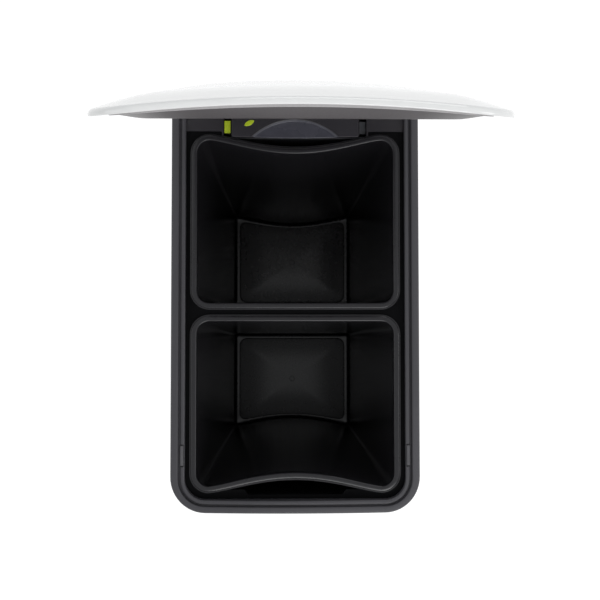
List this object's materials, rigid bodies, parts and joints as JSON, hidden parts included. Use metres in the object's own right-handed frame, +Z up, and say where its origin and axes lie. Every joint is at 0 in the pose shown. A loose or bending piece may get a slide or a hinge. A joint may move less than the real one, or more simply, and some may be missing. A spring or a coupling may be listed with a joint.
{
  "type": "trash compactor",
  "caption": "Tall narrow waste unit: two lift-out bins under an arched white lid, above a drawer whose press plate is driven down by a foot pedal through racks and pinions.",
  "frame": {"origin": "centre of the body's footprint, on the floor", "axes": "+Z up, the front with the pedal and drawer faces -Y, the lid's hinge is at +Y, +X to the right as seen from above with the front at the bottom"},
  "size_m": [0.31, 0.57, 1.3939],
  "materials": {
    "white_gloss": "glossy",
    "white_paint": "satin",
    "dark_paint": "satin",
    "rim_grey": "satin",
    "pan_grey": "satin",
    "bin_black": "satin",
    "dark_plastic": "matte",
    "deck_grey": "satin",
    "black_rubber": "matte",
    "lime_plastic": "satin",
    "natural_plastic": "matte",
    "plated_steel": "satin",
    "grey_steel": "satin",
    "bright_handle": "satin",
    "carbon_felt": "matte"
  },
  "bodies": {
    "body": {"foot_ring": "black_rubber", "base_tray": "dark_plastic", "side_casing_left": "dark_paint", "side_casing_right": "dark_paint", "rear_cover": "dark_paint", "front_panel": "white_paint", "front_frame": "grey_steel", "rim_frame": "rim_grey", "rim_bumpers": "black_rubber", "bin_carrier": "dark_plastic", "bin_well": "dark_plastic", "mid_shelf": "grey_steel", "rear_deck": "deck_grey", "filter_flap_pins": "plated_steel", "filter_cartridge": "carbon_felt", "hinge_brackets": "grey_steel", "hinge_pins": "plated_steel", "rail_left": "plated_steel", "rail_right": "plated_steel", "gear_plate": "grey_steel", "pinion_axles": "plated_steel", "axle_clips": "black_rubber", "mast_guides": "natural_plastic", "lift_guide_rods": "plated_steel", "return_springs": "plated_steel", "pedal_shaft": "plated_steel", "rear_screws": "plated_steel"},
    "lid": {"lid_shell": "white_gloss", "lid_pan": "pan_grey", "lid_hinge_leaves": "grey_steel"},
    "filter_flap": {"filter_flap": "deck_grey"},
    "front_bin": {"front_bin": "bin_black"},
    "rear_bin": {"rear_bin": "bin_black"},
    "drawer": {"drawer_box": "dark_plastic", "drawer_front": "white_paint", "drawer_backing": "grey_steel", "drawer_handle": "bright_handle", "drawer_runners": "natural_plastic"},
    "press": {"press_plate": "grey_steel", "press_mast_left": "grey_steel", "press_mast_right": "grey_steel", "mast_cap": "lime_plastic"},
    "pinion_left": {"pinion_left": "natural_plastic"},
    "pinion_right": {"pinion_right": "natural_plastic"},
    "lift_bar": {"lift_bar": "grey_steel"},
    "pedal": {"pedal_frame": "grey_steel", "pedal_tread": "black_rubber", "pedal_bushes": "natural_plastic"}
  },
  "joints": [
    {"name": "lid_hinge", "type": "hinge", "parent": "body", "child": "lid", "pos_m": [0, 0.257, 0.902], "axis": [-1, 0, 0], "range_deg": [-74, 0]},
    {"name": "front_bin_lift", "type": "slide", "parent": "body", "child": "front_bin", "axis": [0, 0, 1], "range_m": [0, 0.59]},
    {"name": "rear_bin_lift", "type": "slide", "parent": "body", "child": "rear_bin", "axis": [0, 0, 1], "range_m": [0, 0.07]},
    {"name": "filter_flap_hinge", "type": "hinge", "parent": "body", "child": "filter_flap", "pos_m": [0, 0.234, 0.8858], "axis": [-1, 0, 0], "range_deg": [0, 60]},
    {"name": "drawer_slide", "type": "slide", "parent": "body", "child": "drawer", "axis": [0, -1, 0], "range_m": [0, 0.36]},
    {"name": "press_slide", "type": "slide", "parent": "body", "child": "press", "axis": [0, 0, 1], "range_m": [-0.0838, 0]},
    {"name": "lift_slide", "type": "slide", "parent": "body", "child": "lift_bar", "axis": [0, 0, 1], "range_m": [0, 0.0838], "stiffness_N_per_m": 900, "springref_m": -0.12, "deforming": ["return_springs"]},
    {"name": "pinion_left_spin", "type": "hinge", "parent": "body", "child": "pinion_left", "pos_m": [-0.04587, 0.2138, 0.43], "axis": [0, 1, 0], "range_deg": [-160.1, 0]},
    {"name": "pinion_right_spin", "type": "hinge", "parent": "body", "child": "pinion_right", "pos_m": [0.04587, 0.2138, 0.43], "axis": [0, 1, 0], "range_deg": [0, 160.1]},
    {"name": "pedal_hinge", "type": "hinge", "parent": "body", "child": "pedal", "pos_m": [0, -0.1, 0.045], "axis": [1, 0, 0], "range_deg": [0, 15.18]}
  ],
  "couplings": [
    {"joint": "lift_slide", "follows": "press_slide", "ratio": -1},
    {"joint": "pinion_left_spin", "follows": "press_slide", "rad_per_m": 33.333},
    {"joint": "pinion_right_spin", "follows": "press_slide", "rad_per_m": -33.333},
    {"joint": "pedal_hinge", "follows": "press_slide", "rad_per_m": -3.1588}
  ]
}
